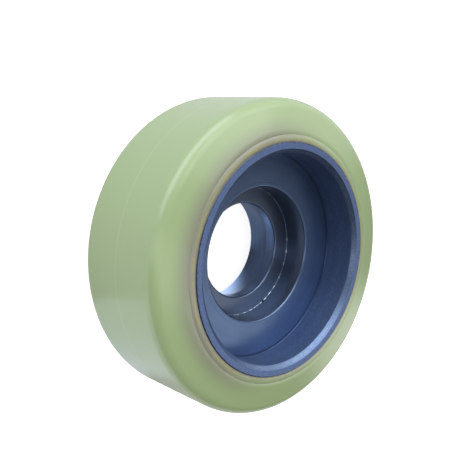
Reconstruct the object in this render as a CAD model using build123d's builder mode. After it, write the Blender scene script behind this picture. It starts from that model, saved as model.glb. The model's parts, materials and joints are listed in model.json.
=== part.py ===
"""Load wheel for a lift truck: a turned cast iron hub with a solid polyurethane tyre on its rim.

The wheel lies on its side with its axis along +Z. The origin is the centre of the end face
that it rests on, and the deep recess with the bearing seat opens upwards.
"""
import math
import os

from build123d import *

# Tyre, cast and bonded straight onto the rim
tyre_diameter = 285.0
tread_width = 95.0
tread_edge_radius = 12.0
tread_edge_flats = 5

# Lip of the tyre round each end of the rim: its edge on the rim, and its foot further out
lip_setback = 0.8
lip_reach = 6.0
lip_drop = 1.5

# Rim of the hub
hub_width = 114.0
rim_diameter = 210.0
rim_edge_break = 0.6

# Recess that opens upwards, with the tool relief at the root of its wall
rim_wall = 10.0
recess_depth = 35.0
recess_chamfer = 4.0
relief_depth = 1.0
relief_width = 1.5

# Bearing seat in the floor of that recess
seat_diameter = 125.0
seat_depth = 24.0
seat_chamfer = 1.0
seat_corner_bevel = 0.8

# Bore through the web: a turned land, then the cored hole that opens towards the lower side
land_diameter = 90.0
land_length = 12.0
land_chamfer = 1.0
core_mouth_diameter = 103.0

# Shallow recess on the lower side
lower_recess_depth = 14.5
lower_recess_bevel = 2.5

# Heights that follow from the sizes above
tread_low = (hub_width - tread_width) / 2
tread_high = hub_width - tread_low
recess_floor = hub_width - recess_depth
seat_floor = recess_floor - seat_depth
land_end = seat_floor - land_length

# Radii that the outlines use
tyre_radius = tyre_diameter / 2
rim_radius = rim_diameter / 2
recess_radius = rim_radius - rim_wall
seat_radius = seat_diameter / 2
land_radius = land_diameter / 2
core_mouth_radius = core_mouth_diameter / 2
lip_radius = rim_radius + lip_reach

# Rounding between the tyre's sloping side and its tread, as short flats within 0.11 mm of the radius
side_slope = math.atan2(hub_width - lip_drop - tread_high, tyre_radius - lip_radius)
edge_turn = math.pi / 2 - side_slope
edge_centre_radius = tyre_radius - tread_edge_radius
edge_centre_height = tread_high - tread_edge_radius * math.tan(edge_turn / 2)
edge_angles = [edge_turn * (1 - step / tread_edge_flats) for step in range(tread_edge_flats + 1)]
upper_edge = [
    (
        edge_centre_radius + tread_edge_radius * math.cos(angle),
        edge_centre_height + tread_edge_radius * math.sin(angle),
    )
    for angle in edge_angles
]
lower_edge = [(radius, hub_width - height) for radius, height in reversed(upper_edge)]


def ring_edges(part, radius, height):
    """Return the circular edges of a turned part that have this radius at this height."""
    circles = part.edges().filter_by(GeomType.CIRCLE)
    return circles.filter_by(
        lambda edge: abs(edge.radius - radius) < 0.01 and abs(edge.arc_center.Z - height) < 0.01
    )


# Hub: one iron casting, turned all over, so its half section is revolved about the axle line
with BuildPart() as hub:
    with BuildSketch(Plane.XZ):
        with BuildLine():
            Polyline(
                (land_radius, seat_floor),
                (seat_radius, seat_floor),
                (seat_radius, recess_floor),
                (recess_radius + relief_depth, recess_floor),
                (recess_radius + relief_depth, recess_floor + relief_width),
                (recess_radius, recess_floor + relief_width),
                (recess_radius, hub_width),
                (rim_radius, hub_width),
                (rim_radius, 0),
                (recess_radius, 0),
                (recess_radius, lower_recess_depth),
                (core_mouth_radius, lower_recess_depth),
                (land_radius, land_end),
                close=True,
            )
        make_face()
    revolve(axis=Axis.Z)

    # Both mouths of the recesses and the outer corners of the rim are broken
    chamfer(ring_edges(hub, recess_radius, hub_width), recess_chamfer)
    chamfer(ring_edges(hub, recess_radius, 0), recess_chamfer)
    chamfer(ring_edges(hub, rim_radius, hub_width) + ring_edges(hub, rim_radius, 0), rim_edge_break)

    # Lead-in and corner of the bearing seat, and the edge of the land behind it
    chamfer(ring_edges(hub, seat_radius, recess_floor), seat_chamfer)
    chamfer(ring_edges(hub, seat_radius, seat_floor), seat_corner_bevel)
    chamfer(ring_edges(hub, land_radius, seat_floor), land_chamfer)

    # Bevelled root of the recess on the lower side
    chamfer(ring_edges(hub, recess_radius, lower_recess_depth), lower_recess_bevel)

# Tyre: solid polyurethane. Each side slopes up from the rounded tread edge to the foot of the lip
with BuildPart() as tyre:
    with BuildSketch(Plane.XZ):
        with BuildLine():
            Polyline(
                (rim_radius, lip_setback),
                (rim_radius, hub_width - lip_setback),
                (lip_radius, hub_width - lip_drop),
                *upper_edge,
                *lower_edge,
                (lip_radius, lip_drop),
                close=True,
            )
        make_face()
    revolve(axis=Axis.Z)

hub.part.label = "hub"
tyre.part.label = "tyre"

os.makedirs("parts", exist_ok=True)
export_step(hub.part, "parts/hub.step")
export_step(tyre.part, "parts/tyre.step")
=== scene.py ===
import json
import math

import bpy
from mathutils import Matrix, Vector


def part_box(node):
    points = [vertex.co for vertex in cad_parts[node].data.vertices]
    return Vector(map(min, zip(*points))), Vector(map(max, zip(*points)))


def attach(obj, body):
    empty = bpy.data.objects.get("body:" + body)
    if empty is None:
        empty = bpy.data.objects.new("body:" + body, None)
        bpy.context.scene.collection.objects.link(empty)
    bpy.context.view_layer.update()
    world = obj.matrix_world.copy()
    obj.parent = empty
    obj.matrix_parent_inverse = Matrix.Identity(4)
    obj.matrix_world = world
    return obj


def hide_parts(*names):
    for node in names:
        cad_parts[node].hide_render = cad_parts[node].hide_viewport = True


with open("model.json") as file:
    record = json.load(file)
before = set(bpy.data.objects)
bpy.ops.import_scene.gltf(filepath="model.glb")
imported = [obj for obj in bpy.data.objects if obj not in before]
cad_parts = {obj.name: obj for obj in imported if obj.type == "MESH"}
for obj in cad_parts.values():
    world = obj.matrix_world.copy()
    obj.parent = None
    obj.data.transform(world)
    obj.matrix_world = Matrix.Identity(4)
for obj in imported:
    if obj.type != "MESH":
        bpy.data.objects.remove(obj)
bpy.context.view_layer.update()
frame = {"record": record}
bpy.ops.object.select_all(action="DESELECT")

# Camera. The wheel lies on its side, so the camera looks down on it at the angle that a
# person has to a standing wheel, and is rolled until the wheel stands on its tread in the
# picture. All lengths in this file are in metres.
camera_place = Vector((0.0, -0.4683, 0.5239))
camera_aim = Vector((-0.0156, -0.0812, 0.1140))
camera_roll = math.radians(101.48)
camera_lens = 55.66
camera_near = 0.01

bpy.ops.object.camera_add(location=camera_place)
camera = bpy.context.object
look = (camera_aim - camera_place).to_track_quat("-Z", "Y").to_matrix().to_4x4()
camera.matrix_world = Matrix.Translation(camera_place) @ look @ Matrix.Rotation(camera_roll, 4, "Z")
camera.data.lens = camera_lens
camera.data.clip_start = camera_near
bpy.context.scene.camera = camera
bpy.context.scene.view_settings.view_transform = "Standard"

# Hub. One iron casting, turned all over: rim, deep recess, web with the bearing seat, and
# the bore. Its outline is turned about the axle line, and every edge has the small radius
# that the tool leaves.
mm = 0.001
hub_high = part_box("hub")[1]
mounts = {mount["name"]: mount for mount in frame["record"]["mounts"]}
rim_radius = hub_high[0]
hub_top = hub_high[2]
rim_edge = 0.6 * mm
rim_wall = 10.0 * mm
recess_radius = rim_radius - rim_wall
recess_chamfer = 4.0 * mm
recess_depth = 35.0 * mm
recess_floor = hub_top - recess_depth
relief_depth = 1.0 * mm
relief_width = 1.5 * mm
seat_radius = mounts["bearing_seat"]["dims"]["r_mm"] * mm
seat_floor = mounts["bearing_shoulder"]["pos_m"][2]
seat_chamfer = 1.0 * mm
seat_corner = 0.9 * mm
land_radius = mounts["through_bore"]["dims"]["r_mm"] * mm
land_length = 12.0 * mm
land_end = seat_floor - land_length
land_chamfer = 1.0 * mm
core_mouth_radius = 51.5 * mm
lower_floor = 14.5 * mm
lower_fillet = 2.5 * mm
tool_radius = 0.15 * mm
cut_share = 1 / 6
sharp_turn = math.radians(30)
hold_distance = 0.60 * mm
held_length = 1.80 * mm
seat_corner_steps = 4
lower_fillet_steps = 5
ring_segments = 480
merge_distance = 0.004 * mm
hub_smooth_turn = math.radians(28)


def arc(centre, radius, start, end, steps):
    """Points of (radius, height) on an arc, from one angle to another in degrees."""
    points = []
    for step in range(steps + 1):
        angle = math.radians(start + (end - start) * step / steps)
        points.append((centre[0] + radius * math.cos(angle), centre[1] + radius * math.sin(angle)))
    return points


def eased(outline):
    """The closed outline with its sharp corners cut, and points beside them that keep flats flat."""
    points = []
    for index, corner in enumerate(outline):
        here = Vector(corner)
        back = Vector(outline[index - 1]) - here
        ahead = Vector(outline[(index + 1) % len(outline)]) - here
        cuts = [here]
        if back.angle(-ahead) > sharp_turn:
            cuts = [
                here + side.normalized() * min(tool_radius, side.length * cut_share)
                for side in (back, ahead)
            ]
        if back.length > held_length:
            cuts.insert(0, here + back.normalized() * hold_distance)
        if ahead.length > held_length:
            cuts.append(here + ahead.normalized() * hold_distance)
        points += [tuple(cut) for cut in cuts]
    return points


def turned(name, outline, smooth_turn):
    """A ring turned about +Z from (radius, height) points, shaded smooth over turns up to this one."""
    bpy.ops.mesh.primitive_circle_add(vertices=ring_segments, radius=outline[0][0])
    piece = bpy.context.object
    piece.name = name
    bpy.ops.object.mode_set(mode="EDIT")
    bpy.ops.mesh.select_all(action="SELECT")
    bpy.ops.transform.translate(value=(0, 0, outline[0][1]))
    for near, far in zip(outline, outline[1:] + outline[:1]):
        rise = far[1] - near[1]
        growth = far[0] / near[0]
        bpy.ops.mesh.extrude_region_move(TRANSFORM_OT_translate={"value": (0, 0, rise)})
        bpy.ops.transform.resize(value=(growth, growth, 1), center_override=(0, 0, 0))
    bpy.ops.mesh.select_all(action="SELECT")
    bpy.ops.mesh.remove_doubles(threshold=merge_distance)
    bpy.ops.mesh.normals_make_consistent(inside=False)
    bpy.ops.object.mode_set(mode="OBJECT")
    bpy.ops.object.shade_smooth_by_angle(angle=smooth_turn)
    return piece


hub_outline = (
    [
        (land_radius, seat_floor - land_chamfer),
        (land_radius + land_chamfer, seat_floor),
    ]
    + arc((seat_radius - seat_corner, seat_floor + seat_corner), seat_corner, -90, 0, seat_corner_steps)
    + [
        (seat_radius, recess_floor - seat_chamfer),
        (seat_radius + seat_chamfer, recess_floor),
        (recess_radius + relief_depth, recess_floor),
        (recess_radius + relief_depth, recess_floor + relief_width),
        (recess_radius, recess_floor + relief_width),
        (recess_radius, hub_top - recess_chamfer),
        (recess_radius + recess_chamfer, hub_top),
        (rim_radius - rim_edge, hub_top),
        (rim_radius, hub_top - rim_edge),
        (rim_radius, rim_edge),
        (rim_radius - rim_edge, 0),
        (recess_radius + recess_chamfer, 0),
        (recess_radius, recess_chamfer),
    ]
    + arc(
        (recess_radius - lower_fillet, lower_floor - lower_fillet),
        lower_fillet,
        0,
        90,
        lower_fillet_steps,
    )
    + [
        (core_mouth_radius, lower_floor),
        (land_radius, land_end),
    ]
)
hub = turned("turned_hub", eased(hub_outline), hub_smooth_turn)


class Field:
    """A shader socket that takes part in arithmetic: each operator adds its Math node."""

    def __init__(self, tree, socket=None):
        self.tree = tree
        self.socket = socket

    def node(self, kind, settings, values, output=0):
        """Add a node, set its settings, then its sockets, and return one output."""
        made = self.tree.nodes.new(kind)
        for name, setting in settings.items():
            setattr(made, name, setting)
        for name, value in values.items():
            if isinstance(value, Field):
                self.tree.links.new(value.socket, made.inputs[name])
            else:
                made.inputs[name].default_value = value
        return Field(self.tree, made.outputs[output])

    def math(self, operation, first, second=0.0):
        return self.node("ShaderNodeMath", {"operation": operation}, {0: first, 1: second})

    def __add__(self, other):
        return self.math("ADD", self, other)

    def __sub__(self, other):
        return self.math("SUBTRACT", self, other)

    def __rsub__(self, other):
        return self.math("SUBTRACT", other, self)

    def __mul__(self, other):
        return self.math("MULTIPLY", self, other)

    __radd__ = __add__
    __rmul__ = __mul__

    def step(self, low, high):
        """0 below low and 1 above high, smooth between them. Turned round where low is more."""
        if low > high:
            return 1.0 - self.step(high, low)
        return self.node(
            "ShaderNodeMapRange", {"interpolation_type": "SMOOTHSTEP"}, {0: self, 1: low, 2: high}
        )

    def band(self, centre, half_width):
        """1 at the centre, falling to 0 at half a width to each side."""
        away = self.math("ABSOLUTE", self - centre)
        return away.step(half_width, 0.0)

    def mixed(self, colour, share):
        """This colour, with a share of another one."""
        return self.node(
            "ShaderNodeMix", {"data_type": "RGBA"}, {0: share, 6: self, 7: (*colour, 1.0)}, output=2
        )


def paint(tree, shader, base, roughness, height, strength, depth):
    """Link what changes over a surface to its shader, with the height as a bump."""
    bump = height.node("ShaderNodeBump", {}, {"Height": height, "Strength": strength, "Distance": depth})
    tree.links.new(base.socket, shader.inputs["Base Color"])
    tree.links.new(roughness.socket, shader.inputs["Roughness"])
    tree.links.new(bump.socket, shader.inputs["Normal"])


def new_material(name, first_colour):
    """A fresh material: its tree, its shader, the object coordinates and a first colour."""
    material = bpy.data.materials.new(name)
    material.use_nodes = True
    tree = material.node_tree
    shader = tree.nodes["Principled BSDF"]
    place = Field(tree).node("ShaderNodeTexCoord", {}, {}, output="Object")
    ground = place.node("ShaderNodeRGB", {}, {})
    ground.socket.default_value = (*first_colour, 1.0)
    return material, tree, shader, place, ground


def turning(place):
    """The distance from the axle line, and the X, Y and Z of each point of a turned piece."""
    along = [place.node("ShaderNodeSeparateXYZ", {}, {0: place}, output=axis) for axis in range(3)]
    radius = place.math("SQRT", along[0] * along[0] + along[1] * along[1])
    return radius, along


def rings(cut_length, spacing):
    """Noise that changes along the cut alone, so that it draws rings of tool marks."""
    return cut_length.node(
        "ShaderNodeTexNoise",
        {"noise_dimensions": "1D"},
        {"W": cut_length * (1 / spacing), "Scale": 1.0, "Detail": 2.0},
    )


def noise(place, size, detail=3.0):
    """Noise in space, with lumps of about this size."""
    return place.node("ShaderNodeTexNoise", {}, {"Vector": place, "Scale": 1 / size, "Detail": detail})


def ragged_edge(place, radius):
    """The distance from the axle line, shaken so that a ring drawn with it has a ragged edge."""
    return radius + (noise(place, ragged_length) - 0.5) * ragged_depth


# Hub's finish: turned iron under a thin blue grey film of rust guard, with rings of tool
# marks, a mottled recess wall and a grained mouth. The rim's end face is painted a lighter
# blue, painted light for the open room it reflects. A painted highlight runs round the
# seat's corner, broken into dashes by the tool's chatter marks and brighter on one side,
# with one black spot in it. A ragged band of painted shade runs along the rim's outer edge,
# where it meets the tyre's lip.
iron_light = (0.170, 0.250, 0.425)
iron_dark = (0.105, 0.155, 0.285)
wall_grey = (0.110, 0.150, 0.260)
lit_face_blue = (0.165, 0.245, 0.500)
seat_grey = (0.160, 0.205, 0.300)
chatter_highlight_white = (0.700, 0.760, 0.850)
edge_shade_grey = (0.070, 0.075, 0.085)
grain_pale = (0.420, 0.480, 0.580)
black_spot = (0.010, 0.012, 0.018)
fine_spacing = 1.1 * mm
broad_spacing = 7.0 * mm
patch_size = 38 * mm
mottle_size = 2.6 * mm
grain_size = 1.1 * mm
ragged_length = 3.0 * mm
ragged_depth = 2.4 * mm
chatter_length = 4.0 * mm
highlight_side_ends = (-45 * mm, -5 * mm)
highlight_side_least = 0.3
spot_turn = math.radians(45)
spot_edge = (1.5 * mm, 0.9 * mm)
iron_metallic = 0.85
iron_roughness = 0.24
iron_bump_strength = 0.25
iron_bump_depth = 0.3 * mm

iron, tree, shader, place, base = new_material("turned_iron", iron_light)
radius, along = turning(place)
cut_length = radius + along[2]
fine_rings = rings(cut_length, fine_spacing)
broad_rings = rings(cut_length, broad_spacing)
patches = noise(place, patch_size)
mottle = noise(place, mottle_size, 5.0)
tone = (broad_rings * 0.4 + patches * 0.6).step(0.72, 0.28)

# The recess wall, the chamfer of its mouth and the rim's end face
wall_root = recess_floor + relief_width
chamfer_foot = hub_top - recess_chamfer
above_root = along[2].step(wall_root + 0.1 * mm, wall_root + 0.7 * mm)
below_chamfer = along[2].step(chamfer_foot + 0.1 * mm, chamfer_foot - 0.4 * mm)
on_wall = radius.band(recess_radius, 0.6 * mm) * above_root * below_chamfer
above_foot = along[2].step(chamfer_foot, chamfer_foot + 0.5 * mm)
on_chamfer = radius.band(recess_radius + recess_chamfer / 2, recess_chamfer / 2) * above_foot
on_face = along[2].step(hub_top - 0.5 * mm, hub_top - 0.1 * mm)
grain = noise(place, grain_size, 2.0).step(0.48, 0.62) * (on_chamfer * 0.5 + on_face * 0.2)

# The rim's ragged outer edge, painted dark: painted shade where the rim meets the tyre's lip
near_top = along[2].step(hub_top - 1.0 * mm, hub_top - 0.7 * mm)
ragged = ragged_edge(place, radius)
on_shaded_edge = ragged.step(rim_radius - 1.1 * mm, rim_radius - 0.7 * mm) * near_top

# The bearing seat, with a painted highlight along its corner, broken by the chatter marks, and a black
# spot in the corner
above_shoulder = along[2].step(seat_floor - land_chamfer, seat_floor - 0.1 * mm)
in_seat = radius.step(seat_radius + 0.6 * mm, seat_radius + 0.2 * mm) * above_shoulder
corner_radius = seat_radius - seat_corner / 2
corner_height = seat_floor + seat_corner / 3
in_corner = radius.band(corner_radius, 0.8 * mm) * along[2].band(corner_height, 0.7 * mm)
highlight_side = along[0].step(*highlight_side_ends) * (1.0 - highlight_side_least) + highlight_side_least
chatter_highlight = in_corner * noise(place, chatter_length, 1.0).step(0.50, 0.56) * highlight_side
spot_place = (
    corner_radius * math.cos(spot_turn),
    corner_radius * math.sin(spot_turn),
    corner_height,
)
from_spot = place.node(
    "ShaderNodeVectorMath", {"operation": "DISTANCE"}, {0: place, 1: spot_place}, output="Value"
)

base = base.mixed(iron_dark, tone * 0.5)
# Painted light: the rim's end face, open to the room, is painted lighter than the shaded iron inside the
# recess.
base = base.mixed(lit_face_blue, on_face * 0.8)
base = base.mixed(grain_pale, grain)
base = base.mixed(seat_grey, in_seat)
# Painted highlight: white dashes along the seat's corner, brighter on one side of the seat.
base = base.mixed(chatter_highlight_white, chatter_highlight)
# A black spot in the seat's corner.
base = base.mixed(black_spot, from_spot.step(*spot_edge))
# Painted shade along the rim's ragged outer edge.
base = base.mixed(edge_shade_grey, on_shaded_edge * 0.85)
base = base.mixed(wall_grey, on_wall * mottle.step(0.35, 0.6) * 0.4)
roughness = iron_roughness + fine_rings * 0.12 + on_face * 0.18 + on_wall * 0.25 + on_chamfer * 0.10
height = fine_rings * (1.0 - on_wall) * 0.3 + mottle * (on_wall * 0.5 + on_chamfer * 0.6 + 0.06)
paint(tree, shader, base, roughness, height, iron_bump_strength, iron_bump_depth)
shader.inputs["Metallic"].default_value = iron_metallic

hub.data.materials.append(iron)
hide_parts("hub")
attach(hub, "root")

# Tyre. Solid polyurethane, cast round the rim and turned to size. Its tread edges are
# rounded, its sides slope up to the rim, and there a thin lip of the casting ends on the
# iron in a ragged edge. The mould's parting line runs round the middle of the tread.
tyre_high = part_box("tyre")[1]
tyre_radius = tyre_high[0]
tread_edge = 12.0 * mm
tread_setback = 9.5 * mm
lip_setback = hub_top - tyre_high[2]
lip_reach = 6.0 * mm
lip_radius = rim_radius + lip_reach
lip_drop = 1.5 * mm
lip_edge_width = 2.0 * mm
lip_edge_drop = 0.10 * mm
lip_crest_drop = 1.35 * mm
crease_width = 0.9 * mm
crease_depth = 0.30 * mm
parting_width = 0.9 * mm
parting_height = 0.10 * mm
shading_hold = 1.0 * mm
side_hold = 5.0 * mm
tread_edge_steps = 16
tyre_smooth_turn = math.radians(24)

side_slope = (tread_setback - lip_drop) / (tyre_radius - lip_radius)
side_angle = math.atan(side_slope)
edge_centre = (
    tyre_radius - tread_edge,
    hub_top - tread_setback + tread_edge * side_slope - tread_edge / math.cos(side_angle),
)
half_side = (
    [
        (rim_radius, hub_top - lip_setback),
        (rim_radius + lip_edge_width, hub_top - lip_setback - lip_edge_drop),
        (lip_radius - crease_width, hub_top - lip_crest_drop),
        (lip_radius, hub_top - lip_drop - crease_depth),
        (lip_radius + crease_width, hub_top - lip_drop - crease_width * side_slope),
        (lip_radius + side_hold, hub_top - lip_drop - side_hold * side_slope),
    ]
    + arc(edge_centre, tread_edge, 90 - math.degrees(side_angle), 0, tread_edge_steps)
    + [
        (tyre_radius, edge_centre[1] - shading_hold),
        (tyre_radius, hub_top / 2 + parting_width + shading_hold),
        (tyre_radius, hub_top / 2 + parting_width),
        (tyre_radius + parting_height, hub_top / 2),
    ]
)
other_half = [(radius, hub_top - height) for radius, height in reversed(half_side[:-1])]
tyre = turned("cast_tyre", half_side + other_half, tyre_smooth_turn)

# Tyre's finish: pale green polyurethane, clear enough to glow a little, with a polished
# skin. The parting line is painted paler, a painted highlight on its ridge. The bond with
# the rim shows through the lip as a ragged brown and amber line. Beside the rim, on the -Y
# half, the side is painted darker and browner, a painted shade, and the lip's crease has
# streaks of painted shade.
side_green = (0.405, 0.525, 0.255)
tread_green = (0.365, 0.475, 0.240)
rim_shade_brown = (0.285, 0.262, 0.215)
bond_brown_and_crease_shade = (0.220, 0.190, 0.140)
bond_amber = (0.420, 0.370, 0.150)
lip_pale = (0.400, 0.460, 0.300)
parting_highlight_pale = (0.450, 0.550, 0.320)
cloud_size = 110 * mm
streak_size = 16 * mm
tread_ring_spacing = 4.0 * mm
shaded_half_ends = (30 * mm, -70 * mm)
skin_roughness = 0.34
skin_bump_strength = 0.10
skin_bump_depth = 1.0 * mm
scatter_weight = 0.12
scatter_reach = (0.010, 0.012, 0.006)
scatter_scale = 0.5
polish_roughness = 0.15

polyurethane, tree, shader, place, base = new_material("cast_polyurethane", side_green)
radius, along = turning(place)
cloud = noise(place, cloud_size)
streaks = noise(place, streak_size, 4.0)
tread_rings = rings(radius + along[2], tread_ring_spacing)
on_tread = radius.step(tyre_radius - 6 * mm, tyre_radius - 0.3 * mm)
parting_highlight = on_tread * along[2].band(hub_top / 2, 1.3 * mm)
near_rim = radius.step(tyre_radius - 13 * mm, lip_radius - 3 * mm)
shaded_half = along[1].step(*shaded_half_ends)
on_lip = radius.step(lip_radius + 0.3 * mm, lip_radius - 0.5 * mm)
in_crease = radius.band(lip_radius, 0.7 * mm)
ragged = ragged_edge(place, radius)
bond_line = ragged.band(rim_radius + 0.4 * mm, 1.4 * mm)
amber_line = ragged.band(rim_radius + 2.6 * mm, 2.0 * mm)
base = base.mixed(tread_green, on_tread * (0.8 + tread_rings * 0.2))
# Painted highlight: the parting line's ridge is painted paler.
base = base.mixed(parting_highlight_pale, parting_highlight * 0.6)
# Painted shade: darker and browner beside the rim on the -Y half only; the lip is paler on the other
# half.
base = base.mixed(rim_shade_brown, near_rim * shaded_half * (0.55 + cloud * 0.6))
base = base.mixed(lip_pale, on_lip * (1.0 - shaded_half) * 0.6)
base = base.mixed(bond_amber, amber_line * streaks.step(0.35, 0.60) * 0.8)
base = base.mixed(bond_brown_and_crease_shade, bond_line * 0.7)
# Painted shade: streaks of darker brown in the lip's crease.
base = base.mixed(bond_brown_and_crease_shade, in_crease * streaks.step(0.60, 0.40) * 0.5)
roughness = skin_roughness + streaks * 0.08
height = cloud * 0.6 + tread_rings * 0.05
paint(tree, shader, base, roughness, height, skin_bump_strength, skin_bump_depth)
shader.inputs["Subsurface Weight"].default_value = scatter_weight
shader.inputs["Subsurface Radius"].default_value = scatter_reach
shader.inputs["Subsurface Scale"].default_value = scatter_scale
shader.inputs["Coat Weight"].default_value = 1.0
shader.inputs["Coat Roughness"].default_value = polish_roughness

tyre.data.materials.append(polyurethane)
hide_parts("tyre")
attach(tyre, "root")

# Floor. A white table that shows as the plain background and keeps a faint shadow of the
# wheel. The camera sees it glow white. Shiny surfaces see a weaker, bluish glow: beside the
# wheel on the side that is down in the picture, and in patches under the bore.
floor_size = 12.0
floor_cells = 8
floor_white = (0.80, 0.80, 0.80, 1.0)
floor_roughness = 0.9
floor_glow = 0.90
mirrored_glow = 0.46
mirrored_blue = (0.72, 0.84, 1.00)
lit_slant = 0.64
lit_edge = (-6 * mm, 10 * mm)
lit_near = (-20 * mm, -60 * mm)
wheel_margin = 7.5 * mm
bore_edge = (60 * mm, 50 * mm)
core_start = (24 * mm, 30 * mm)
land_patch_low = (5 * mm, 9 * mm)
land_patch_near = (-12 * mm, -8 * mm)
core_patch_high = (-2 * mm, -6 * mm)
foot_patch_low = (10 * mm, 36 * mm)
patch_share = 0.65
foot_share = 6.0


def seen_by(tree, *rays):
    """1 for rays of these kinds, 0 for the others."""
    kinds = [Field(tree).node("ShaderNodeLightPath", {}, {}, output=f"Is {ray} Ray") for ray in rays]
    seen = kinds[0]
    for kind in kinds[1:]:
        seen = seen.math("MAXIMUM", seen, kind)
    return seen


bpy.ops.mesh.primitive_grid_add(x_subdivisions=floor_cells, y_subdivisions=floor_cells, size=floor_size)
floor = bpy.context.object
floor.name = "floor"
cloth, tree, shader, place, white_glow = new_material("white_table", (1.0, 1.0, 1.0))
shader.inputs["Base Color"].default_value = floor_white
shader.inputs["Roughness"].default_value = floor_roughness
glow_colour = white_glow.mixed(mirrored_blue, seen_by(tree, "Glossy"))
away, along = turning(place)
lit_side = (along[0] + along[1] * lit_slant).step(*lit_edge) * along[1].step(*lit_near)
beside_wheel = away.step(tyre_radius - wheel_margin, tyre_radius + wheel_margin)
in_bore = away.step(*bore_edge)
under_core = along[1].step(*core_start)
land_patch = along[0].step(*land_patch_low) * along[1].step(*land_patch_near) * (1.0 - under_core)
core_patch = along[0].step(*core_patch_high) * under_core
foot_patch = along[0].step(*foot_patch_low) * under_core
bore_light = (land_patch + core_patch) * patch_share + foot_patch * foot_share
mirrored = (lit_side * beside_wheel + in_bore * bore_light) * mirrored_glow
glow = seen_by(tree, "Camera") * floor_glow + seen_by(tree, "Glossy") * mirrored
tree.links.new(glow_colour.socket, shader.inputs["Emission Color"])
tree.links.new(glow.socket, shader.inputs["Emission Strength"])
floor.data.materials.append(cloth)

# Light. A white room. Shiny surfaces see it dim, with a bright band near the middle and a
# bright side, the one that is up in the picture. A broad panel hangs on that side, and a
# long low strip stands beside the tread.
room_light = 0.62
room_band = 1.15
room_dim = 0.04
band_start = (-0.04, 0.12)
band_end = (0.38, 0.22)
side_start = (-0.28, -0.48)
panel_aim = Vector((0.0, 0.0, 0.06))

world = bpy.data.worlds.new("white_room")
bpy.context.scene.world = world
world.use_nodes = True
tree = world.node_tree
background = tree.nodes["Background"]
seen_direct = seen_by(tree, "Camera", "Transmission")
seen_mirrored = seen_by(tree, "Glossy")
direction = Field(tree).node("ShaderNodeTexCoord", {}, {}, output="Generated")
across = direction.node("ShaderNodeSeparateXYZ", {}, {0: direction}, output="X")
bright_band = across.step(*band_start) * across.step(*band_end) * room_band
white_part = bright_band + across.step(*side_start)
mirrored_change = white_part * (1.0 - room_dim) + room_dim - room_light
room = room_light + seen_direct * (1.0 - room_light) + seen_mirrored * mirrored_change
tree.links.new(room.socket, background.inputs["Strength"])
background.inputs["Color"].default_value = (1, 1, 1, 1)

panels = {
    "upper_panel": ((-1.50, 0.20, 1.90), 2.2, 2.0, 17.0, (0.93, 0.97, 1.00)),
    "side_strip": ((-1.48, -1.42, 0.48), 3.2, 1.2, 27.0, (0.82, 0.90, 1.00)),
}
for name, (panel_place, width, depth, power, panel_colour) in panels.items():
    bpy.ops.object.light_add(type="AREA", location=panel_place)
    panel = bpy.context.object
    panel.name = name
    panel.data.shape = "RECTANGLE"
    panel.data.size = width
    panel.data.size_y = depth
    panel.data.energy = power
    panel.data.color = panel_colour
    panel.rotation_euler = (panel_aim - Vector(panel_place)).to_track_quat("-Z", "Y").to_euler()
